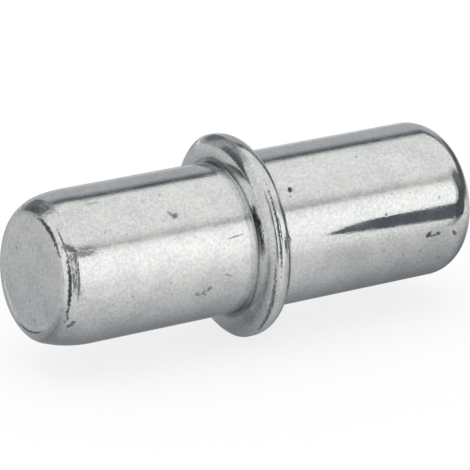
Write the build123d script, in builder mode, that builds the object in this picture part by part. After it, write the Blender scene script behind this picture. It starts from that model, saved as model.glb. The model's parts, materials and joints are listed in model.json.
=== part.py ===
# Shelf support pin: one solid, headed from steel wire.
# The plug goes into a hole in the cabinet's side as far as the collar, and the shelf lies on the stud.
# The axis is X, level as in use. The origin is the centre of the collar's seat, where the plug begins.
import os

from build123d import *

# Plug, towards +X, with a rounded nose that finds the hole
plug_diameter = 5.0
plug_length = 7.35
nose_rounding = 1.1

# Stud, towards -X, crowned over its last stretch to an end with a soft corner and a shallow dish
stud_diameter = 4.84
stud_length = 6.78
stud_crown_length = 1.68
stud_crown_drop = 0.375
stud_end_rounding = 0.45
dish_depth = 0.03
dish_wall = 0.1

# Collar, upset between the two. Its face leans a little, and the dies leave a narrow land around its rim
collar_width = 0.75
collar_thickness = 0.95
face_lean = 0.04
seat_rounding = 0.53
shoulder_height = 0.38
rim_land = 0.13
root_rounding = 0.06

# The most of the collar's flat that a root rounding may take
root_share = 0.7

# How far the dish keeps inside the stud's end, as a share of the end's rounding
dish_share = 0.72

# Places and radii that follow from these
plug_radius = plug_diameter / 2
stud_radius = stud_diameter / 2
stud_end_radius = stud_radius - stud_crown_drop
collar_radius = max(plug_radius, stud_radius) + collar_width
stud_end = -collar_thickness - stud_length
crown_start = stud_end + stud_crown_length
dish_floor = stud_end + dish_depth
dish_radius = stud_end_radius - dish_share * stud_end_rounding
land_start = -seat_rounding - rim_land
shoulder_radius = collar_radius - shoulder_height
seat_flat = collar_width - max(seat_rounding, shoulder_height)
root_fillet = min(root_rounding, root_share * seat_flat)

# Directions in the half section, whose X is the pin's axis and whose Y is the radius
towards_stud = (-1, 0)
up_the_face = (face_lean, shoulder_radius - stud_radius)

with BuildPart() as shelf_pin:
    with BuildSketch(Plane.XY) as half_section:
        with BuildLine():
            crown = TangentArc(
                (crown_start, stud_radius),
                (stud_end, stud_end_radius),
                tangent=towards_stud,
            )
            shoulder = TangentArc(
                (face_lean - collar_thickness, shoulder_radius),
                (land_start, collar_radius),
                tangent=up_the_face,
            )
            Polyline(shoulder @ 0, (-collar_thickness, stud_radius), crown @ 0)
            Polyline(
                crown @ 1,
                (stud_end, dish_radius),
                (dish_floor, dish_radius - dish_wall),
                (dish_floor, 0),
                (plug_length, 0),
                (plug_length, plug_radius),
                (0, plug_radius),
                (0, collar_radius),
                shoulder @ 1,
            )
        make_face()

        # Each corner of the section that is rounded, with its radius
        roundings = (
            ((stud_end, stud_end_radius), stud_end_rounding),
            ((plug_length, plug_radius), nose_rounding),
            ((0, collar_radius), seat_rounding),
            ((-collar_thickness, stud_radius), root_fillet),
            ((0, plug_radius), root_fillet),
        )
        for corner, radius in roundings:
            fillet(half_section.vertices().sort_by_distance(corner)[0], radius)
    revolve(axis=Axis.X)

shelf_pin.part.label = "shelf_pin"
os.makedirs("parts", exist_ok=True)
export_step(shelf_pin.part, "parts/shelf_pin.step")
print("shelf pin", shelf_pin.part.bounding_box().size, "volume", shelf_pin.part.volume)
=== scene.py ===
import json
import math

import bpy
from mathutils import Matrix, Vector


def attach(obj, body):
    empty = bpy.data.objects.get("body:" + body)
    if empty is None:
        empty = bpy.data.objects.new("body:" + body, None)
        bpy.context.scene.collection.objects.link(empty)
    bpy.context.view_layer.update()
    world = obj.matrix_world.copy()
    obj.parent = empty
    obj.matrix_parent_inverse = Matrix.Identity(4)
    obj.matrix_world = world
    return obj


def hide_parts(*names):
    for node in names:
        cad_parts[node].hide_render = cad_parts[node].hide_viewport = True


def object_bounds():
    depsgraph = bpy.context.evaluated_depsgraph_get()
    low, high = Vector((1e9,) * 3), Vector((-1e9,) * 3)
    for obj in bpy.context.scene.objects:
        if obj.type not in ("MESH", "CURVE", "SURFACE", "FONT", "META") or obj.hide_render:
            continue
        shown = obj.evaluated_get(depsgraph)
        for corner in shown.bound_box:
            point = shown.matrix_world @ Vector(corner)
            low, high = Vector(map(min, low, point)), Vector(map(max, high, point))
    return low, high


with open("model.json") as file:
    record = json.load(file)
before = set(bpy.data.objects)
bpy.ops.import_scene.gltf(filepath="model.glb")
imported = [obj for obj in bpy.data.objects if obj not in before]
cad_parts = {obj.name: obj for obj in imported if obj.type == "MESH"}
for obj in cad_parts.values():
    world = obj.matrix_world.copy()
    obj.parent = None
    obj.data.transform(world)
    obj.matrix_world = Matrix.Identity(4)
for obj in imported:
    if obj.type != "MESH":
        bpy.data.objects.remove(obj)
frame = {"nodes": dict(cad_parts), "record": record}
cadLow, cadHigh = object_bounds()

mm = 0.001
scene = bpy.context.scene
scene.view_settings.view_transform = "Standard"
print("frame loaded:", sorted(frame["nodes"]))


# Small helpers for every node tree here

def addNode(tree, kind, *wires, **settings):
    node = tree.nodes.new(kind)
    for name, value in settings.items():
        setattr(node, name, value)
    for place, value in enumerate(wires):
        feed(tree, node.inputs[place], value)
    return node


def feed(tree, socket, value):
    if value is None:
        return
    if isinstance(value, bpy.types.NodeSocket):
        tree.links.new(value, socket)
    else:
        socket.default_value = value


def calc(tree, operation, first, second=None, clamp=False):
    return addNode(tree, "ShaderNodeMath", first, second, operation=operation, use_clamp=clamp).outputs[0]


def plus(tree, first, second):
    return calc(tree, "ADD", first, second)


def minus(tree, first, second):
    return calc(tree, "SUBTRACT", first, second)


def times(tree, first, second):
    return calc(tree, "MULTIPLY", first, second)


def over(tree, first, second):
    return calc(tree, "DIVIDE", first, second)


def ramp(tree, value, fromLow, fromHigh, toLow=0.0, toHigh=1.0, smooth=True):
    node = tree.nodes.new("ShaderNodeMapRange")
    node.interpolation_type = "SMOOTHSTEP" if smooth else "LINEAR"
    for name, setting in zip(("Value", "From Min", "From Max", "To Min", "To Max"),
                             (value, fromLow, fromHigh, toLow, toHigh)):
        feed(tree, node.inputs[name], setting)
    return node.outputs[0]


def noise(tree, place, scale, detail, roughness, seed):
    node = tree.nodes.new("ShaderNodeTexNoise")
    node.noise_dimensions = "4D"
    for name, setting in (("Vector", place), ("W", seed), ("Scale", scale), ("Detail", detail),
                          ("Roughness", roughness)):
        feed(tree, node.inputs[name], setting)
    return node.outputs[0]


def blend(tree, share, first, second):
    node = addNode(tree, "ShaderNodeMix", data_type="RGBA")
    feed(tree, node.inputs[0], share)
    feed(tree, node.inputs[6], first)  # 6, 7 and 2 are the node's colour sockets
    feed(tree, node.inputs[7], second)
    return node.outputs[2]


def stretched(tree, place, scales):
    return addNode(tree, "ShaderNodeVectorMath", place, scales, operation="MULTIPLY").outputs[0]


# How far out a place is in an ellipse that lies on the unrolled side, 1 at its edge
def ellipse(tree, along, around, lie, halfLength, halfWidth):
    cosine, sine = calc(tree, "COSINE", lie), calc(tree, "SINE", lie)
    length = plus(tree, times(tree, along, cosine), times(tree, around, sine))
    width = minus(tree, times(tree, around, cosine), times(tree, along, sine))
    longShare = calc(tree, "POWER", over(tree, length, halfLength), 2.0)
    wideShare = calc(tree, "POWER", over(tree, width, halfWidth), 2.0)
    return calc(tree, "SQRT", plus(tree, longShare, wideShare))


# Place along the axis, turn up from the front, distance from the axis
def unroll(tree, place):
    axes = addNode(tree, "ShaderNodeSeparateXYZ", place).outputs
    turn = calc(tree, "ARCTAN2", axes["Z"], times(tree, axes["Y"], -1.0))
    squares = plus(tree, calc(tree, "POWER", axes["Y"], 2.0), calc(tree, "POWER", axes["Z"], 2.0))
    return axes["X"], turn, calc(tree, "SQRT", squares)


def groupSockets(tree, inputs, outputs):
    for way, sockets in (("INPUT", inputs), ("OUTPUT", outputs)):
        for name, kind in sockets:
            tree.interface.new_socket(name=name, in_out=way, socket_type="NodeSocket" + kind)
    return tree.nodes.new("NodeGroupInput"), tree.nodes.new("NodeGroupOutput")


# The pin's half section, from the middle of the stud's end to the middle of the plug's nose

mounts = {mount["name"]: mount for mount in frame["record"]["mounts"]}

pinValues = {
    "plugRadius": mounts["wall_plug"]["dims"]["r_mm"] * mm,
    "studRadius": mounts["shelf_stud"]["dims"]["r_mm"] * mm,
    "collarRadius": (cadHigh.z - cadLow.z) / 2,
    "studEnd": cadLow.x,
    "plugEnd": cadHigh.x,
    "collarThickness": 0.95 * mm,
    "faceLean": 0.04 * mm,
    "faceBend": math.radians(5.0),  # how much less the face leans at its foot
    "noseRounding": 1.1 * mm,
    "crownLength": 1.68 * mm,
    "crownDrop": 0.375 * mm,
    "endRounding": 0.45 * mm,
    "dishDepth": 0.03 * mm,
    "dishWall": 0.1 * mm,
    "dishShare": 0.72,  # how far the dish keeps inside the end, as a share of its rounding
    "dishRunOut": (-0.75, 0.1),  # heights between which the dish runs out, in dish radii
    "seatRounding": 0.53 * mm,
    "shoulderHeight": 0.38 * mm,
    "rimLand": 0.13 * mm,
    "rootRounding": 0.06 * mm,
    "steps": (0.018 * mm, 0.035 * mm, 0.09 * mm),  # between rows: fine, medium and wide
    "segments": 232,
    "mergeWithin": 0.0005 * mm,
    "waviness": 0.0022 * mm,
    "wavesPerMetre": 420.0,
    "waveNoise": (2.0, 0.5),  # detail and roughness, here and in the other noises
    # the stud's end is sheared out of square: how far it sits back, its lean up and to the front
    "cutBack": 0.15 * mm,
    "cutLeanUp": 0.09,
    "cutLeanFront": 0.06,
    "cutReach": 0.9 * mm,
    "cornerWear": 0.016 * mm,
    "cornerReach": 0.75 * mm,
    "cornerCore": 0.2,  # the share of that reach that is worn in full
    "chipsPerWave": 4.0,
    "chipNoise": (3.0, 0.55),
    "chipLevel": 0.55,
    "wander": 0.12 * mm,  # how far dents stray from their line
    "wandersPerWave": 3.0,
    "wanderNoise": (1.0, 0.5),
    "seed": 7.0,
}

# millimetres along the axis, degrees up from the front, lie in degrees, half length, half width, depth;
# a burr stands out, so its depth is less than nothing
dentValues = {
    "rimCrease": (-0.5, 19.0, 90.0, 1.6, 0.06, 0.045),
    "rimCreaseLow": (-0.735, -24.0, 91.0, 1.6, 0.05, 0.03),
    "rimBurr": (-0.12, 13.7, 80.0, 0.16, 0.1, -0.05),
    "studDent": (-3.5, 46.0, 0.0, 0.26, 0.2, 0.005),
    "noseDent": (5.5, -6.5, 0.0, 0.4, 0.2, 0.004),
}


def arcPoints(centre, radius, fromTurn, toTurn, step):
    count = max(4, round(abs(toTurn - fromTurn) * radius / step))
    turns = [fromTurn + (toTurn - fromTurn) * i / count for i in range(count + 1)]
    return [(centre[0] + radius * math.cos(t), centre[1] + radius * math.sin(t)) for t in turns]


def linePoints(start, end, step):
    count = max(1, round(math.dist(start, end) / step))
    return [(start[0] + (end[0] - start[0]) * i / count, start[1] + (end[1] - start[1]) * i / count)
            for i in range(count + 1)]


def dishEdge(v):
    return v["studRadius"] - v["crownDrop"] - v["dishShare"] * v["endRounding"]


def halfSection(v):
    fine, medium, wide = v["steps"]
    right, up, left = 0.0, math.pi / 2, math.pi
    face = -v["collarThickness"]
    root = v["rootRounding"]

    # the crown is an arc tangent to the stud's wall, and the end corner rounds off where it meets the end
    drop = v["crownDrop"]
    crownRadius = (v["crownLength"] ** 2 + drop ** 2) / (2 * drop)
    crownCentre = (v["studEnd"] + v["crownLength"], v["studRadius"] - crownRadius)
    cornerX = v["studEnd"] + v["endRounding"]
    reach = crownRadius - v["endRounding"]
    cornerY = crownCentre[1] + math.sqrt(reach ** 2 - (cornerX - crownCentre[0]) ** 2)
    cornerTurn = math.atan2(cornerY - crownCentre[1], cornerX - crownCentre[0])

    # a shallow dish is pressed into the end, inside the rounding
    dishFloor = v["studEnd"] + v["dishDepth"]
    dishRadius = dishEdge(v)

    # the collar's face is a very flat arc that leans a little, and a fillet joins it to the stud
    faceTop = (face + v["faceLean"], v["collarRadius"] - v["shoulderHeight"])
    lowLean = math.atan2(v["faceLean"], faceTop[1] - v["studRadius"]) - v["faceBend"]
    rootReach = root * math.tan((up - lowLean) / 2)
    rootCentre = (face - rootReach, v["studRadius"] + root)
    faceLow = (rootCentre[0] + root * math.cos(lowLean), rootCentre[1] - root * math.sin(lowLean))
    bend = math.atan2(faceTop[0] - faceLow[0], faceTop[1] - faceLow[1]) - lowLean
    faceRadius = math.dist(faceLow, faceTop) / (2 * math.sin(bend))
    faceCentre = (faceLow[0] + faceRadius * math.cos(lowLean), faceLow[1] - faceRadius * math.sin(lowLean))
    topLean = lowLean + 2 * bend

    # the shoulder is an arc tangent to the face that ends at the land
    landStart = -v["seatRounding"] - v["rimLand"]
    run, rise = landStart - faceTop[0], v["shoulderHeight"]
    shoulderRadius = (run ** 2 + rise ** 2) / (2 * (run * math.cos(topLean) - rise * math.sin(topLean)))
    shoulderCentre = (faceTop[0] + shoulderRadius * math.cos(topLean),
                      faceTop[1] - shoulderRadius * math.sin(topLean))
    landTurn = math.atan2(v["collarRadius"] - shoulderCentre[1], landStart - shoulderCentre[0])

    nose = (v["plugEnd"] - v["noseRounding"], v["plugRadius"] - v["noseRounding"])
    seat = (-v["seatRounding"], v["collarRadius"] - v["seatRounding"])
    stretches = [
        linePoints((dishFloor, 0.0), (dishFloor, dishRadius - v["dishWall"]), medium),
        linePoints((dishFloor, dishRadius - v["dishWall"]), (v["studEnd"], dishRadius), fine),
        linePoints((v["studEnd"], dishRadius), (v["studEnd"], cornerY), fine),
        arcPoints((cornerX, cornerY), v["endRounding"], left, cornerTurn, fine),
        arcPoints(crownCentre, crownRadius, cornerTurn, up, medium),
        linePoints((crownCentre[0], v["studRadius"]), (rootCentre[0], v["studRadius"]), wide),
        arcPoints(rootCentre, root, -up, right - lowLean, fine),
        arcPoints(faceCentre, faceRadius, left - lowLean, left - topLean, medium),
        arcPoints(shoulderCentre, shoulderRadius, left - topLean, landTurn, fine),
        linePoints((landStart, v["collarRadius"]), (-v["seatRounding"], v["collarRadius"]), fine),
        arcPoints(seat, v["seatRounding"], up, right, fine),
        linePoints((0.0, seat[1]), (0.0, v["plugRadius"] + root), medium),
        arcPoints((root, v["plugRadius"] + root), root, left, left + up, fine),
        linePoints((root, v["plugRadius"]), (nose[0], v["plugRadius"]), wide),
        arcPoints(nose, v["noseRounding"], up, right, medium),
        linePoints((v["plugEnd"], nose[1]), (v["plugEnd"], 0.0), wide),
    ]
    points = [stretches[0][0]]
    for stretch in stretches:
        points += stretch[1:]
    return points


# The lathe turns the half section about X, shears the end and leaves the surface as headed steel is

def latheSettings(v, finish):
    return {
        "Segments": v["segments"],
        "Merge Within": v["mergeWithin"],
        "Waviness": v["waviness"],
        "Waves Per Metre": v["wavesPerMetre"],
        "Corner Wear": v["cornerWear"],
        "Corner Place": v["studEnd"] + v["endRounding"] / 2,
        "Corner Reach": v["cornerReach"],
        "End": v["studEnd"],
        "Dish Radius": dishEdge(v),
        "Cut Back": v["cutBack"],
        "Cut Lean Up": v["cutLeanUp"],
        "Cut Lean Front": v["cutLeanFront"],
        "Cut Reach": v["cutReach"],
        "Wander": v["wander"],
        "Seed": v["seed"],
        "Finish": finish,
    }


def latheTree(v, dents, settings):
    tree = bpy.data.node_groups.new("pinLathe", "GeometryNodeTree")
    tree.is_modifier = True
    kinds = {"Segments": "Int", "Finish": "Material"}
    sockets = [(name, kinds.get(name, "Float")) for name in settings]
    inputs, outputs = groupSockets(tree, [("Half Section", "Geometry"), *sockets], [("Pin", "Geometry")])
    wire = inputs.outputs

    # a grid with a row for each point of the half section, each column a turn further round
    rows = addNode(tree, "GeometryNodeAttributeDomainSize", wire["Half Section"]).outputs["Point Count"]
    columns = plus(tree, wire["Segments"], 1.0)
    grid = addNode(tree, "GeometryNodeMeshGrid", 1.0, 1.0, rows, columns)
    index = tree.nodes.new("GeometryNodeInputIndex").outputs[0]
    row = calc(tree, "FLOOR", over(tree, plus(tree, index, 0.5), columns))
    column = minus(tree, index, times(tree, row, columns))
    turn = over(tree, times(tree, column, 2 * math.pi), wire["Segments"])
    sample = tree.nodes.new("GeometryNodeSampleIndex")
    sample.data_type = "FLOAT_VECTOR"
    place = tree.nodes.new("GeometryNodeInputPosition").outputs[0]
    feed(tree, sample.inputs["Geometry"], wire["Half Section"])
    feed(tree, sample.inputs["Value"], place)
    feed(tree, sample.inputs["Index"], row)
    section = addNode(tree, "ShaderNodeSeparateXYZ", sample.outputs[0]).outputs
    turned = addNode(
        tree, "ShaderNodeCombineXYZ", section["X"],
        times(tree, section["Y"], calc(tree, "COSINE", turn)),
        times(tree, section["Y"], calc(tree, "SINE", turn)),
    )
    shaped = tree.nodes.new("GeometryNodeSetPosition")
    feed(tree, shaped.inputs["Geometry"], grid.outputs["Mesh"])
    feed(tree, shaped.inputs["Position"], turned.outputs[0])
    closed = tree.nodes.new("GeometryNodeMergeByDistance")
    feed(tree, closed.inputs["Geometry"], shaped.outputs[0])
    feed(tree, closed.inputs["Distance"], wire["Merge Within"])
    outward = addNode(tree, "GeometryNodeFlipFaces", closed.outputs[0])

    # the oblique cut of the stud's end, and the dish that runs out towards its top
    axes = addNode(tree, "ShaderNodeSeparateXYZ", place).outputs
    along, turn, radius = unroll(tree, place)
    fromEnd = minus(tree, along, wire["End"])
    lean = times(tree, axes["Z"], wire["Cut Lean Up"])
    lean = minus(tree, lean, times(tree, axes["Y"], wire["Cut Lean Front"]))
    nearEnd = ramp(tree, over(tree, fromEnd, wire["Cut Reach"]), 0.0, 1.0, 1.0, 0.0)
    shift = times(tree, plus(tree, lean, wire["Cut Back"]), nearEnd)
    inDish = times(tree, calc(tree, "LESS_THAN", radius, wire["Dish Radius"]), nearEnd)
    runOut = ramp(tree, over(tree, axes["Z"], wire["Dish Radius"]), *v["dishRunOut"])
    filled = times(tree, times(tree, fromEnd, inDish), runOut)
    shift = minus(tree, shift, filled)
    sheared = tree.nodes.new("GeometryNodeSetPosition")
    feed(tree, sheared.inputs["Geometry"], outward.outputs[0])
    feed(tree, sheared.inputs["Offset"], addNode(tree, "ShaderNodeCombineXYZ", shift).outputs[0])

    # unevenness along the normal
    rate, seed = wire["Waves Per Metre"], wire["Seed"]
    wave = noise(tree, place, rate, *v["waveNoise"], seed)
    height = times(tree, minus(tree, wave, 0.5), wire["Waviness"])

    # wear on the stud's end corner, strongest at the corner itself
    fromCorner = calc(tree, "ABSOLUTE", minus(tree, along, wire["Corner Place"]))
    nearCorner = ramp(tree, over(tree, fromCorner, wire["Corner Reach"]), v["cornerCore"], 1.0, 1.0, 0.0)
    chips = noise(tree, place, times(tree, rate, v["chipsPerWave"]), *v["chipNoise"], seed)
    chips = times(tree, minus(tree, chips, v["chipLevel"]), wire["Corner Wear"])
    height = plus(tree, height, times(tree, chips, nearCorner))

    # listed dents, wandering a little from their line
    wander = noise(tree, place, times(tree, rate, v["wandersPerWave"]), *v["wanderNoise"], seed)
    wander = times(tree, minus(tree, wander, 0.5), wire["Wander"])
    for x, up, lie, halfLength, halfWidth, depth in dents.values():
        fromLine = plus(tree, minus(tree, along, x * mm), wander)
        around = times(tree, minus(tree, turn, math.radians(up)), radius)
        reach = ellipse(tree, fromLine, around, math.radians(lie), halfLength * mm, halfWidth * mm)
        height = minus(tree, height, ramp(tree, reach, 0.0, 1.0, depth * mm, 0.0))
    normal = tree.nodes.new("GeometryNodeInputNormal").outputs[0]
    push = addNode(tree, "ShaderNodeVectorMath", normal, operation="SCALE")
    feed(tree, push.inputs["Scale"], height)
    uneven = tree.nodes.new("GeometryNodeSetPosition")
    feed(tree, uneven.inputs["Geometry"], sheared.outputs[0])
    feed(tree, uneven.inputs["Offset"], push.outputs[0])

    smooth = addNode(tree, "GeometryNodeSetShadeSmooth", uneven.outputs[0])
    whole = addNode(tree, "GeometryNodeRealizeInstances", smooth.outputs[0])
    dressed = tree.nodes.new("GeometryNodeSetMaterial")
    feed(tree, dressed.inputs["Geometry"], whole.outputs[0])
    feed(tree, dressed.inputs["Material"], wire["Finish"])
    feed(tree, outputs.inputs[0], dressed.outputs[0])
    return tree


def makePin(v, dents, finish):
    points = [(x, y, 0.0) for x, y in halfSection(v)]
    chain = bpy.data.meshes.new("halfSection")
    chain.from_pydata(points, [(i, i + 1) for i in range(len(points) - 1)], [])
    pin = bpy.data.objects.new("zincPin", chain)
    scene.collection.objects.link(pin)

    settings = latheSettings(v, finish)
    lathe = pin.modifiers.new("lathe", "NODES")
    lathe.node_group = latheTree(v, dents, settings)
    for item in lathe.node_group.interface.items_tree:
        if item.in_out == "INPUT" and item.name in settings:
            lathe[item.identifier] = settings[item.name]

    evaluated = pin.evaluated_get(bpy.context.evaluated_depsgraph_get())
    mesh = bpy.data.meshes.new_from_object(evaluated)
    pin.modifiers.remove(lathe)
    pin.data = mesh
    bpy.data.meshes.remove(chain)
    mesh.name = "zincPin"
    print("pin turned:", len(points), "rows,", len(mesh.polygons), "faces")
    return pin


# Bright zinc plate: grain, cloudy patches, pits, marks from the drum it was plated in, and painted shade and
# painted dark reflections

zincValues = {
    "lightZinc": (0.872, 0.878, 0.854),
    "dullZinc": (0.655, 0.675, 0.665),
    # dark for the real marks and for the painted shade and dark reflections alike
    "darkMarkAndShade": (0.09, 0.1, 0.115),
    "toneShares": (0.6, 0.4),  # how much of the tone is grain and how much is clouds
    "toneSpread": (0.36, 0.64),  # from dull to light
    "grainPerMetre": 10500.0,
    "grainNoise": (2.0, 0.55),  # detail and roughness, here and in the other noises
    "grainHeight": 0.0013 * mm,
    "streaksPerMetre": (900.0, 14000.0),  # along and around
    "streakNoise": (3.0, 0.6),
    "streakHeight": 0.0018 * mm,
    "cloudsPerMetre": 1100.0,
    "cloudNoise": (4.0, 0.6),
    "roughness": (0.05, 0.17),
    "roughClouds": (0.3, 0.75),  # clouds between which it goes from the one to the other
    "pitsPerMetre": 3000.0,
    "pitShare": 0.3,
    "pitRadius": (0.025 * mm, 0.065 * mm),
    "pitEdge": (0.5, 1.2),  # shares of the radius between which a pit fades
    "pitDark": (0.08, 0.5),
    "pitDepth": 0.006 * mm,
    "markEdge": (0.5, 1.3),
    "raggedNoise": (2.0, 0.6),
    "raggedSpread": (0.2, 0.8),
    "raggedness": (-0.6, 0.4),  # how far noise moves a mark's edge, in shares of its size
    "wornRoughness": 0.35,
    "rootDark": 0.2,
    "rootDarkReach": (0.02 * mm, 0.3 * mm),
    "rootDarkClouds": (0.3, 0.7),
    "rootCore": 0.45,
    "rootCoreReach": (0.03 * mm, 0.1 * mm),
    "cornerFrom": (-6.7 * mm, -7.05 * mm),
    "chipsPerMetre": 5200.0,
    "chipNoise": (2.0, 0.6),
    "chipHeight": 0.012 * mm,
    "cornerDull": 0.09,
    "endEdge": (0.004 * mm, 0.012 * mm),  # above the dish's floor, where the matt end stops
    "endRoughness": (0.2, 0.34),
    "endLinesPerMetre": (16000.0, 700.0),  # across and upward
    "endLineNoise": (3.0, 0.6),
    "endLineSpread": (0.3, 0.7),
    "endLineHeight": 0.0007 * mm,
    "seed": 3.0,
}

# millimetres along the axis, degrees up from the front, lie in degrees, half length, half width, darkness
markAndShadeValues = {
    "deepPit": (0.62, 47.3, 0.0, 0.074, 0.074, 1.3),
    "pitTail": (0.8, 48.6, 10.0, 0.1, 0.02, 0.35),
    "pinhole": (0.55, 42.0, 40.0, 0.05, 0.03, 0.4),
    "dentLeft": (-3.57, 47.2, -40.0, 0.1, 0.06, 0.55),
    "dentRight": (-3.46, 45.4, 20.0, 0.12, 0.075, 0.8),
    "scratch": (-1.66, 21.4, 6.0, 0.26, 0.026, 0.55),
    "slantedCut": (-1.95, -7.0, -24.0, 0.15, 0.03, 0.55),
    "stain": (-5.85, 70.0, 0.0, 0.2, 0.07, 0.28),
    "speckA": (-3.03, -18.0, -30.0, 0.12, 0.055, 0.5),
    "speckB": (-2.82, -17.5, 60.0, 0.12, 0.05, 0.55),
    "speckC": (-2.62, -15.0, 50.0, 0.09, 0.055, 0.65),
    "speckD": (-2.74, -19.4, -60.0, 0.08, 0.04, 0.55),
    "gougeLeft": (5.3, -6.2, 35.0, 0.11, 0.065, 0.95),
    "gougeRight": (5.66, -6.6, -20.0, 0.1, 0.06, 0.85),
    "gougeLine": (5.48, -7.6, 0.0, 0.2, 0.035, 0.75),
    "noseSpeck": (6.28, -8.6, -50.0, 0.11, 0.06, 0.8),
    "lowSpeck": (5.9, -30.0, -50.0, 0.12, 0.05, 0.35),
    "cornerBlob": (-7.22, -28.0, 60.0, 0.16, 0.06, 0.75),
    "cornerTear": (-7.282, 7.6, 85.0, 0.95, 0.042, 1.0),
    "cornerTearTwo": (-7.06, 10.0, 86.0, 0.6, 0.034, 0.75),
    "cornerTearTop": (-7.208, 42.0, 90.0, 0.55, 0.022, 0.75),
    "cornerTearLow": (-7.345, -20.0, 96.0, 0.22, 0.03, 0.7),
    "cornerFold": (-7.12, 38.0, -50.0, 0.26, 0.075, 0.8),
    "crownFold": (-6.78, 31.0, -4.0, 0.36, 0.085, 0.55),
    "rimPit": (-0.54, 42.5, 0.0, 0.04, 0.04, 0.7),
    "shoulderSeam": (-0.735, -24.0, 91.0, 1.45, 0.042, 0.75),
    "rimSeam": (-0.56, 21.0, 89.0, 1.25, 0.05, 0.95),
    "rimEdge": (-0.24, 3.0, 90.0, 1.3, 0.036, 0.8),
    "rootLine": (-1.03, 58.0, 88.0, 0.8, 0.016, 0.4),
    # painted shade under the stud's root
    "rootShadeLow": (-1.04, -52.0, 80.0, 0.5, 0.14, 0.28),
    "rimDull": (-0.33, 0.0, 90.0, 4.5, 0.22, 0.09),
    "shoulderDull": (-0.75, 15.0, 90.0, 3.4, 0.14, 0.2),
}

# painted dark reflections on the stud's end, listed the same way, with the distance from the axis instead of
# the place along it
endReflectionValues = {
    "lowEdge": (1.78, -84.0, 90.0, 0.75, 0.04, 0.75),
    "frontEdge": (1.9, 61.0, 90.0, 0.85, 0.06, 0.95),
}

# and painted shade on the collar's face
faceShadeValues = {
    "topShade": (2.5, 97.0, 90.0, 0.5, 0.1, 0.5),
    "lowShade": (2.52, -72.0, 90.0, 0.6, 0.1, 0.15),
}


def newGroup(name, inputs, outputs):
    tree = bpy.data.node_groups.new(name, "ShaderNodeTree")
    wires, out = groupSockets(tree, inputs, outputs)
    return tree, wires.outputs, out.inputs


def useGroup(tree, group, settings):
    node = addNode(tree, "ShaderNodeGroup", node_tree=group)
    for name, value in settings.items():
        feed(tree, node.inputs[name], value)
    return node.outputs


# One ragged mark: an ellipse on the unrolled side, broken up by noise
def markGroup(v):
    numbers = ("Turn", "Along", "Up", "Lie", "Half Length", "Half Width", "Ragged")
    sockets = [("Spread", "Vector")] + [(name, "Float") for name in numbers]
    tree, wires, out = newGroup("placedMark", sockets, [("Mask", "Float")])
    axes = addNode(tree, "ShaderNodeSeparateXYZ", wires["Spread"]).outputs
    along = minus(tree, axes["X"], wires["Along"])
    around = times(tree, minus(tree, wires["Turn"], wires["Up"]), axes["Z"])
    reach = ellipse(tree, along, around, wires["Lie"], wires["Half Length"], wires["Half Width"])
    reach = plus(tree, reach, wires["Ragged"])
    feed(tree, out["Mask"], ramp(tree, reach, *v["markEdge"], 1.0, 0.0))
    return tree


# Shares of grain, cloudiness and streaks along the axis, each from 0 to 1
def grainGroup(v):
    tree, wires, out = newGroup("plateGrain", [("Place", "Vector"), ("Spread", "Vector")],
                                [("Grain", "Float"), ("Clouds", "Float"), ("Streaks", "Float")])
    place, seed = wires["Place"], v["seed"]
    feed(tree, out["Grain"], noise(tree, place, v["grainPerMetre"], *v["grainNoise"], seed))
    feed(tree, out["Clouds"], noise(tree, place, v["cloudsPerMetre"], *v["cloudNoise"], seed + 1.0))
    alongRate, aroundRate = v["streaksPerMetre"]
    lying = stretched(tree, wires["Spread"], (alongRate, aroundRate, aroundRate))
    feed(tree, out["Streaks"], noise(tree, lying, 1.0, *v["streakNoise"], seed + 2.0))
    return tree


# Small pits in a share of the cells, each of its own size
def pitGroup(v):
    tree, wires, out = newGroup("platePits", [("Place", "Vector")], [("Mask", "Float")])
    cells = addNode(tree, "ShaderNodeTexVoronoi", voronoi_dimensions="3D", feature="F1")
    feed(tree, cells.inputs["Vector"], wires["Place"])
    feed(tree, cells.inputs["Scale"], v["pitsPerMetre"])
    chance = addNode(tree, "ShaderNodeSeparateXYZ", cells.outputs["Color"]).outputs
    chosen = calc(tree, "LESS_THAN", chance["X"], v["pitShare"])
    small, large = (size * v["pitsPerMetre"] for size in v["pitRadius"])
    radius = ramp(tree, chance["Y"], 0.0, 1.0, small, large, smooth=False)
    share = over(tree, cells.outputs["Distance"], radius)
    dark = ramp(tree, chance["Z"], 0.0, 1.0, *v["pitDark"])
    mask = times(tree, ramp(tree, share, *v["pitEdge"], 1.0, 0.0), chosen)
    feed(tree, out["Mask"], times(tree, mask, dark))
    return tree


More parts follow.
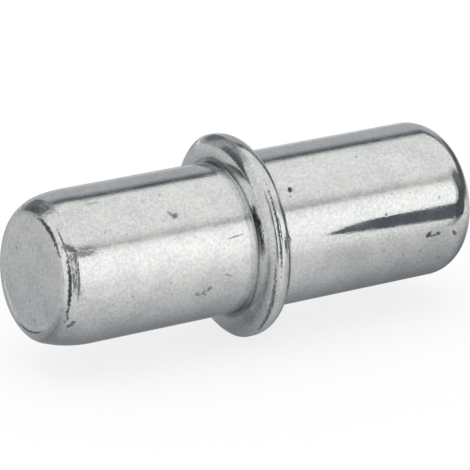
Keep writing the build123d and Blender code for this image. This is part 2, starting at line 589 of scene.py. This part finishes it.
def zincPlate(v, marksAndShades, endReflections, faceShades, p):
    material = bpy.data.materials.new("zincPlate")
    material.use_nodes = True
    tree = material.node_tree
    shader = tree.nodes["Principled BSDF"]
    place = tree.nodes.new("ShaderNodeTexCoord").outputs["Object"]
    along, turn, radius = unroll(tree, place)
    around = times(tree, turn, radius)
    spread = addNode(tree, "ShaderNodeCombineXYZ", along, around, radius).outputs[0]
    grain = useGroup(tree, grainGroup(v), {"Place": place, "Spread": spread})
    clouds = grain["Clouds"]
    pits = useGroup(tree, pitGroup(v), {"Place": place})["Mask"]

    # listed marks, painted shade and dark reflections among them; the deepest one counts
    rough = noise(tree, place, v["grainPerMetre"], *v["raggedNoise"], v["seed"] + 5.0)
    ragged = ramp(tree, rough, *v["raggedSpread"], *v["raggedness"])
    sweep = addNode(tree, "ShaderNodeCombineXYZ", radius, around, radius).outputs[0]
    onEnd = calc(tree, "LESS_THAN", along, p["studEnd"] + p["endRounding"])
    nearFace = calc(tree, "ABSOLUTE", plus(tree, along, p["collarThickness"]))
    onFace = calc(tree, "LESS_THAN", nearFace, p["faceLean"] * 2.0)
    group = markGroup(v)
    wornAndShaded = pits
    for where, rows, share in ((spread, marksAndShades, 1.0), (sweep, endReflections, onEnd), (sweep, faceShades, onFace)):
        for x, up, lie, halfLength, halfWidth, dark in rows.values():
            mask = useGroup(tree, group, {
                "Spread": where, "Turn": turn, "Along": x * mm, "Up": math.radians(up),
                "Lie": math.radians(lie), "Half Length": halfLength * mm, "Half Width": halfWidth * mm,
                "Ragged": ragged})["Mask"]
            mask = times(tree, times(tree, mask, dark), share)
            wornAndShaded = calc(tree, "MAXIMUM", wornAndShaded, mask)

    # the stud's end is left matt by the shears, with fine lines across it
    sides = addNode(tree, "ShaderNodeSeparateXYZ", place).outputs
    cut = minus(tree, times(tree, sides["Z"], p["cutLeanUp"]), times(tree, sides["Y"], p["cutLeanFront"]))
    fromCut = minus(tree, minus(tree, along, p["studEnd"] + p["cutBack"]), cut)
    endFrom, endTo = (p["dishDepth"] + edge for edge in v["endEdge"])
    endFace = ramp(tree, fromCut, endFrom, endTo, 1.0, 0.0)
    across, upward = v["endLinesPerMetre"]
    lying = stretched(tree, place, (across, across, upward))
    lines = noise(tree, lying, 1.0, *v["endLineNoise"], v["seed"] + 7.0)

    # painted shade in the two roots beside the collar, darkest at the root itself and broken up by the clouds
    nearSeat = calc(tree, "ABSOLUTE", along)
    low = minus(tree, radius, p["plugRadius"])
    root = plus(tree, calc(tree, "MINIMUM", nearFace, nearSeat), calc(tree, "MAXIMUM", low, 0.0))
    cloudyRootShade = ramp(tree, root, *v["rootDarkReach"], 1.0, 0.0)
    cloudyRootShade = times(tree, cloudyRootShade, ramp(tree, clouds, *v["rootDarkClouds"]))
    core = ramp(tree, root, *v["rootCoreReach"], v["rootCore"], 0.0)
    paintedRootShade = calc(tree, "MAXIMUM", times(tree, cloudyRootShade, v["rootDark"]), core)

    grainShare, cloudShare = v["toneShares"]
    tone = plus(tree, times(tree, grain["Grain"], grainShare), times(tree, clouds, cloudShare))
    light = ramp(tree, tone, *v["toneSpread"])
    colour = blend(tree, light, (*v["dullZinc"], 1.0), (*v["lightZinc"], 1.0))
    # the roots take the painted shade, then the marks their darkness
    colour = blend(tree, paintedRootShade, colour, (*v["darkMarkAndShade"], 1.0))
    colour = blend(tree, wornAndShaded, colour, (*v["darkMarkAndShade"], 1.0))
    feed(tree, shader.inputs["Base Color"], colour)
    shader.inputs["Metallic"].default_value = 1.0

    # cloudy plate, the matt end, the dulled corner, and the marks, painted shade among them
    dull = ramp(tree, clouds, *v["roughClouds"], *v["roughness"])
    endDull = ramp(tree, lines, *v["endLineSpread"], *v["endRoughness"])
    dull = plus(tree, dull, times(tree, endFace, minus(tree, endDull, dull)))
    nearCorner = times(tree, ramp(tree, along, *v["cornerFrom"]), minus(tree, 1.0, endFace))
    dull = plus(tree, dull, times(tree, nearCorner, v["cornerDull"]))
    feed(tree, shader.inputs["Roughness"], plus(tree, dull, times(tree, wornAndShaded, v["wornRoughness"])))

    # the end corner is also chipped, where pins knock together
    height = times(tree, grain["Grain"], v["grainHeight"])
    height = plus(tree, height, times(tree, grain["Streaks"], v["streakHeight"]))
    height = plus(tree, height, times(tree, times(tree, lines, endFace), v["endLineHeight"]))
    height = minus(tree, height, times(tree, wornAndShaded, v["pitDepth"]))
    chips = noise(tree, place, v["chipsPerMetre"], *v["chipNoise"], v["seed"] + 9.0)
    height = plus(tree, height, times(tree, times(tree, chips, nearCorner), v["chipHeight"]))
    bump = tree.nodes.new("ShaderNodeBump")
    bump.inputs["Distance"].default_value = 1.0
    feed(tree, bump.inputs["Height"], height)
    feed(tree, shader.inputs["Normal"], bump.outputs[0])
    print("zinc plate mixed:", len(marksAndShades) + len(endReflections) + len(faceShades), "marksAndShades")
    return material


finish = zincPlate(zincValues, markAndShadeValues, endReflectionValues, faceShadeValues, pinValues)
pin = makePin(pinValues, dentValues, finish)
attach(pin, "root")
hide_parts("shelf_pin")


# Floor, softbox, and the dome, sheet and cards that only the metal sees; the sheet glows with a painted
# shadow of the pin

stageValues = {
    "floorHalf": 0.4,
    "floorColour": (0.92, 0.92, 0.92),
    "floorWhite": 0.78,  # how much of the floor is plain white where it is looked at
    "worldLevel": 0.95,
    "softboxSize": 0.35,
    "softboxHeight": 0.3,
    "softboxPower": 0.21,
    "domeRadius": 120.0 * mm,
    "domeRings": 24,
    "domeSides": 48,
    "coolTint": (0.93, 0.97, 1.03),
    # degrees about the pin's axis from the front over the top to the back, the cloth's light, how cool it is
    "domeBands": [
        (-40, 1.02, 0), (0, 1.03, 0), (10, 1.1, 0), (20, 1.13, 0), (31, 1.06, 0), (37.5, 0.92, 0),
        (41, 0.56, 0), (44.5, 0.55, 0), (50.5, 0.76, 0), (57, 0.85, 0), (90, 0.88, 0), (122.5, 0.85, 0),
        (127, 0.58, 0.5), (131, 0.12, 1), (136, 0.13, 1), (141, 0.33, 1), (146, 0.46, 1), (179, 0.475, 0.7)],
    # from and to azimuth (0 is the front, plus is towards the plug) and softness, the same for elevation,
    # then light, how cool it is, and how much it covers
    "domePatches": {
        "leftSide": ((-120, -50, 18), (-90, 70, 18), 0.95, 0, 1),
        "lensTop": ((-67, -50, 8), (35, 43, 6), 0.04, 2.5, 1),
        "lensMiddle": ((-58, -35, 8), (17, 40, 8), 0.04, 2.5, 1),
        "lensGap": ((-50, -35.5, 6), (-12, 22, 10), 0.04, 2.5, 1),
        "leftBack": ((-168, -116, 14), (-10, 62, 14), 0.36, 1, 0.65),
        "seam": ((-8, 16, 10), (37, 45, 8), 0.2, 1, 1),
        "rightEnd": ((84, 128, 8), (-30, 15, 8), 0.1, 1, 1),
        "backEnd": ((-200, -158, 10), (6, 34, 10), 0.18, 1, 1),
    },
    # millimetres before the axis, the light of the sheet that lies there, how cool it is; the dark bands near
    # the axis are a painted shadow of the pin
    "sheetBands": [
        (-60, 0.47, 1), (-6, 0.45, 1), (-2, 0.42, 1), (-0.5, 0.3, 1), (0.3, 0.22, 1), (1.2, 0.29, 1),
        (2, 0.4, 1), (3, 0.53, 0.5), (4.6, 0.62, 0), (5.9, 0.69, 0), (8, 0.79, 0), (11.5, 0.85, 0),
        (22, 0.93, 0), (60, 1.0, 0)],
    "sheetReach": 124.0 * mm,
    "sheetLift": 0.01 * mm,
    "sheetClear": (9.5 * mm, 19.0 * mm),  # past the pin's ends the bands give way
    "sheetBefore": (12.0 * mm, 26.0 * mm),  # but not this far before it
    "sheetOpen": (0.57, 0.8),  # the light there, behind the pin and before it
    "sheetTurn": (-5.0 * mm, 5.0 * mm),  # where the one turns into the other
    "plugDim": (1.0 * mm, 6.0 * mm, 0.83),  # beside the plug the sheet is dimmer: from, to, how much is left
    "plugDimReach": (7.5 * mm, 13.0 * mm),
    "farEnd": (22.0 * mm, 45.0 * mm, 0.12),  # the dark beyond the plug: from, to, its light
    "gapStart": (5.5 * mm, 18.0 * mm),
    "gapLevel": 0.14,
    # cards: light at the foot and at the head, how cool it is, the heights between which it changes, corners
    "cards": {
        "noseCard": (0.09, 0.18, 1.5, (1.0, 4.5), [
            (8.3, -5, -0.7), (9.5, -5, -1.1), (10.9, -5, -1.5), (13.6, -5, -2), (23, -5, -3.2),
            (110, -5, -3.2), (110, -5, 37), (21, -5, 9), (17, -5, 7.2), (13.5, -5, 5.9), (11.4, -5, 4.7),
            (11.2, -5, 3.8), (11.5, -5, 3), (11.9, -5, 2.2), (11.2, -5, 1.6), (10.3, -5, 1.1),
            (9.2, -5, 0.85), (8.3, -5, 0.6)]),
        "noseFringe": (0.55, 0.62, 0.3, (2.0, 6.0), [
            (9, -5.2, 0), (110, -5.2, 0), (110, -5.2, 44), (20, -5.2, 10.6), (13, -5.2, 7.6),
            (10.2, -5.2, 5.6), (9.9, -5.2, 4), (10.4, -5.2, 2.4), (9.7, -5.2, 1.6), (9, -5.2, 1.2)]),
        "noseShade": (0.36, 0.42, 0.5, (-3.0, -1.0), [
            (9.8, -8, -3.2), (20, -8, -3.2), (20, -8, -2.9), (12, -8, -1.5), (9.8, -8, -1.1)]),
        "endLight": (0.84, 0.84, 0, (0.0, 1.0), [
            (-12, -4, 2.6), (-12, 3.8, 2.6), (-12, 5.7, 12), (-12, -4, 12)]),
        "endCard": (0.11, 0.17, 1, (5.0, 12.0), [
            (-12, 4, 3.2), (-12, 16, 3.2), (-12, 16, 12), (-12, 6, 12)]),
        "lowBar": (0.125, 0.125, 2.5, (-3.0, 3.0), [
            (4.6, -8, 0), (5.6, -8, -0.55), (7, -8, -0.95), (9.3, -8, -1.55), (12, -8, -2.35), (18, -8, -3.2),
            (18, -8, 1.2), (9.5, -8, 1.05), (6.4, -8, 1.2), (5.4, -8, 0.7)]),
    },
}


def plainMaterial(name):
    material = bpy.data.materials.new(name)
    material.use_nodes = True
    material.node_tree.nodes.clear()
    return material, material.node_tree


def addStage(name, points, faces, material):
    mesh = bpy.data.meshes.new(name)
    mesh.from_pydata(points, [], faces)
    mesh.materials.append(material)
    piece = bpy.data.objects.new(name, mesh)
    scene.collection.objects.link(piece)
    return piece


def onlyReflected(piece):
    piece.visible_camera = False
    piece.visible_diffuse = False
    piece.visible_shadow = False
    piece.visible_transmission = False


# 1 for a ray from the camera, or one reflected in metal or seen through glass
def lookedAt(tree):
    path = tree.nodes.new("ShaderNodeLightPath").outputs
    seen = calc(tree, "MAXIMUM", path["Is Camera Ray"], path["Is Glossy Ray"])
    return calc(tree, "MAXIMUM", seen, path["Is Transmission Ray"])


def surface(tree, shader):
    out = tree.nodes.new("ShaderNodeOutputMaterial")
    tree.links.new(shader.outputs[0], out.inputs["Surface"])


def floorPaper(v):
    material, tree = plainMaterial("floorPaper")
    paper = addNode(tree, "ShaderNodeBsdfDiffuse", (*v["floorColour"], 1.0))
    white = addNode(tree, "ShaderNodeEmission", (1.0, 1.0, 1.0, 1.0), 1.0)
    share = times(tree, lookedAt(tree), v["floorWhite"])
    surface(tree, addNode(tree, "ShaderNodeMixShader", share, paper.outputs[0], white.outputs[0]))
    return material


def tinted(level, cool, tint):
    return [level * (1.0 - cool * (1.0 - part)) for part in tint] + [1.0]


def bandColour(tree, value, low, high, bands, tint):
    share = ramp(tree, value, low, high, 0.0, 1.0, smooth=False)
    node = tree.nodes.new("ShaderNodeValToRGB")
    stops = node.color_ramp.elements
    stops.remove(stops[-1])
    for i, (place, level, cool) in enumerate(bands):
        position = (place - bands[0][0]) / (bands[-1][0] - bands[0][0])
        stop = stops[0] if i == 0 else stops.new(position)
        stop.position = position
        stop.color = tinted(level, cool, tint)
    tree.links.new(share, node.inputs[0])
    return node.outputs[0]


def glow(tree, colour):
    surface(tree, addNode(tree, "ShaderNodeEmission", colour))


def window(tree, value, low, high, soft):
    opened = ramp(tree, value, math.radians(low - soft / 2), math.radians(low + soft / 2))
    closed = ramp(tree, value, math.radians(high - soft / 2), math.radians(high + soft / 2))
    return calc(tree, "SUBTRACT", opened, closed, clamp=True)


def domeCloth(v):
    material, tree = plainMaterial("domeCloth")
    place = tree.nodes.new("ShaderNodeTexCoord").outputs["Object"]
    way = addNode(tree, "ShaderNodeVectorMath", place, operation="NORMALIZE").outputs[0]
    axes = addNode(tree, "ShaderNodeSeparateXYZ", way).outputs
    before = times(tree, axes["Y"], -1.0)
    turn = calc(tree, "ARCTAN2", axes["Z"], before)
    azimuth = calc(tree, "ARCTAN2", axes["X"], before)
    elevation = calc(tree, "ARCSINE", axes["Z"])
    bands = v["domeBands"]
    low, high = math.radians(bands[0][0]), math.radians(bands[-1][0])
    colour = bandColour(tree, turn, low, high, bands, v["coolTint"])
    for across, upward, level, cool, cover in v["domePatches"].values():
        share = times(tree, window(tree, azimuth, *across), window(tree, elevation, *upward))
        share = times(tree, share, cover)
        colour = blend(tree, share, colour, tinted(level, cool, v["coolTint"]))
    glow(tree, colour)
    return material


# A glowing sheet on the floor that only the metal sees, with a painted shadow of the pin in its bands
def sheetWithPaintedShadow(v):
    material, tree = plainMaterial("sheetWithPaintedShadow")
    place = tree.nodes.new("ShaderNodeTexCoord").outputs["Object"]
    axes = addNode(tree, "ShaderNodeSeparateXYZ", place).outputs
    before = times(tree, axes["Y"], -1.0)
    bands = v["sheetBands"]
    colour = bandColour(tree, before, bands[0][0] * mm, bands[-1][0] * mm, bands, v["coolTint"])

    dimFrom, dimTo, dimmed = v["plugDim"]
    dim = times(tree, ramp(tree, axes["X"], dimFrom, dimTo), ramp(tree, before, *v["plugDimReach"], 1.0, 0.0))
    scaled = addNode(tree, "ShaderNodeVectorMath", colour, operation="SCALE")
    feed(tree, scaled.inputs["Scale"], ramp(tree, dim, 0.0, 1.0, 1.0, dimmed, smooth=False))

    past = ramp(tree, calc(tree, "ABSOLUTE", axes["X"]), *v["sheetClear"])
    past = times(tree, past, ramp(tree, before, *v["sheetBefore"], 1.0, 0.0))
    behind, front = (tinted(level, 0, v["coolTint"]) for level in v["sheetOpen"])
    opened = blend(tree, ramp(tree, before, *v["sheetTurn"]), behind, front)
    colour = blend(tree, past, scaled.outputs[0], opened)

    # the dark beyond the plug and the dark gap that the collar's face shows go on across the sheet
    azimuth = calc(tree, "ARCTAN2", axes["X"], before)
    farFrom, farTo, farLevel = v["farEnd"]
    far = window(tree, azimuth, *v["domePatches"]["rightEnd"][0])
    far = times(tree, far, ramp(tree, axes["X"], farFrom, farTo))
    colour = blend(tree, far, colour, tinted(farLevel, 1, v["coolTint"]))
    gap = window(tree, azimuth, *v["domePatches"]["lensGap"][0])
    gap = times(tree, gap, ramp(tree, before, *v["gapStart"]))
    glow(tree, blend(tree, gap, colour, tinted(v["gapLevel"], 1, v["coolTint"])))
    return material


def flatSheet(name, half, level, material):
    corners = [(-half, -half, level), (half, -half, level), (half, half, level), (-half, half, level)]
    return addStage(name, corners, [(0, 1, 2, 3)], material)


def makeDome(v):
    radius, rings, sides = v["domeRadius"], v["domeRings"], v["domeSides"]
    points = [(0.0, 0.0, radius)]
    for i in range(1, rings):
        rise = math.pi * (0.5 - i / rings)
        for j in range(sides):
            turn = 2 * math.pi * j / sides
            way = (math.cos(rise) * math.cos(turn), math.cos(rise) * math.sin(turn), math.sin(rise))
            points.append(tuple(radius * part for part in way))
    points.append((0.0, 0.0, -radius))
    last = len(points) - 1
    faces = []
    for j in range(sides):
        k = (j + 1) % sides
        faces.append((0, 1 + j, 1 + k))
        faces.append((last, last - sides + k, last - sides + j))
        for i in range(rings - 2):
            upper = 1 + i * sides
            lower = upper + sides
            faces.append((upper + j, lower + j, lower + k, upper + k))
    onlyReflected(addStage("dome", points, faces, domeCloth(v)))


def makeCards(v):
    for name, (foot, head, cool, heights, corners) in v["cards"].items():
        material, tree = plainMaterial(name)
        place = tree.nodes.new("ShaderNodeTexCoord").outputs["Object"]
        height = addNode(tree, "ShaderNodeSeparateXYZ", place).outputs["Z"]
        share = ramp(tree, height, heights[0] * mm, heights[1] * mm)
        glow(tree, blend(tree, share, tinted(foot, cool, v["coolTint"]), tinted(head, cool, v["coolTint"])))
        edge = [tuple(part * mm for part in corner) for corner in corners]
        onlyReflected(addStage(name, edge, [tuple(range(len(edge)))], material))


def makeLight(v):
    world = bpy.data.worlds.new("studio")
    scene.world = world
    world.use_nodes = True
    tree = world.node_tree
    background = tree.nodes["Background"]
    background.inputs["Color"].default_value = (1.0, 1.0, 1.0, 1.0)
    level = ramp(tree, lookedAt(tree), 0.0, 1.0, v["worldLevel"], 1.0, smooth=False)
    feed(tree, background.inputs["Strength"], level)

    light = bpy.data.lights.new("softbox", "AREA")
    light.energy = v["softboxPower"]
    light.size = v["softboxSize"]
    lamp = bpy.data.objects.new("softbox", light)
    lamp.location = (0.0, 0.0, v["softboxHeight"])
    lamp.visible_glossy = False
    lamp.visible_camera = False
    scene.collection.objects.link(lamp)


flatSheet("floor", stageValues["floorHalf"], cadLow.z, floorPaper(stageValues))
sheetLevel = cadLow.z + stageValues["sheetLift"]
onlyReflected(flatSheet("sheet", stageValues["sheetReach"], sheetLevel, sheetWithPaintedShadow(stageValues)))
makeDome(stageValues)
makeCards(stageValues)
makeLight(stageValues)
print("stage set")


# Camera at the photograph's angle

cameraValues = {
    "azimuth": -29.87,
    "elevation": 20.32,
    "distance": 106.54 * mm,
    "focalPixels": 3379.1,
    "target": (-0.5 * mm, 0.0, 0.0),
    "targetPixel": (231.37, 234.88),
    "imagePixels": 470,
    "sensorWidth": 36.0,
    "clip": (0.01, 10.0),
}


def makeCamera(v):
    turn, rise = math.radians(v["azimuth"]), math.radians(v["elevation"])
    back = Vector((math.sin(turn) * math.cos(rise), -math.cos(turn) * math.cos(rise), math.sin(rise)))
    target = Vector(v["target"])
    data = bpy.data.cameras.new("camera")
    data.sensor_width = v["sensorWidth"]
    data.lens = v["focalPixels"] * data.sensor_width / v["imagePixels"]
    data.clip_start, data.clip_end = v["clip"]
    camera = bpy.data.objects.new("camera", data)
    facing = (-back).to_track_quat("-Z", "Y")
    camera.rotation_mode = "QUATERNION"
    camera.rotation_quaternion = facing

    # the collar's middle falls a little off the picture's middle, so the camera stands to one side
    middle = v["imagePixels"] / 2
    pixel = v["distance"] / v["focalPixels"]
    across, down = v["targetPixel"]
    aside = facing @ Vector(((middle - across) * pixel, (down - middle) * pixel, 0.0))
    camera.location = target + back * v["distance"] + aside
    scene.collection.objects.link(camera)
    scene.camera = camera


makeCamera(cameraValues)
print("camera placed")
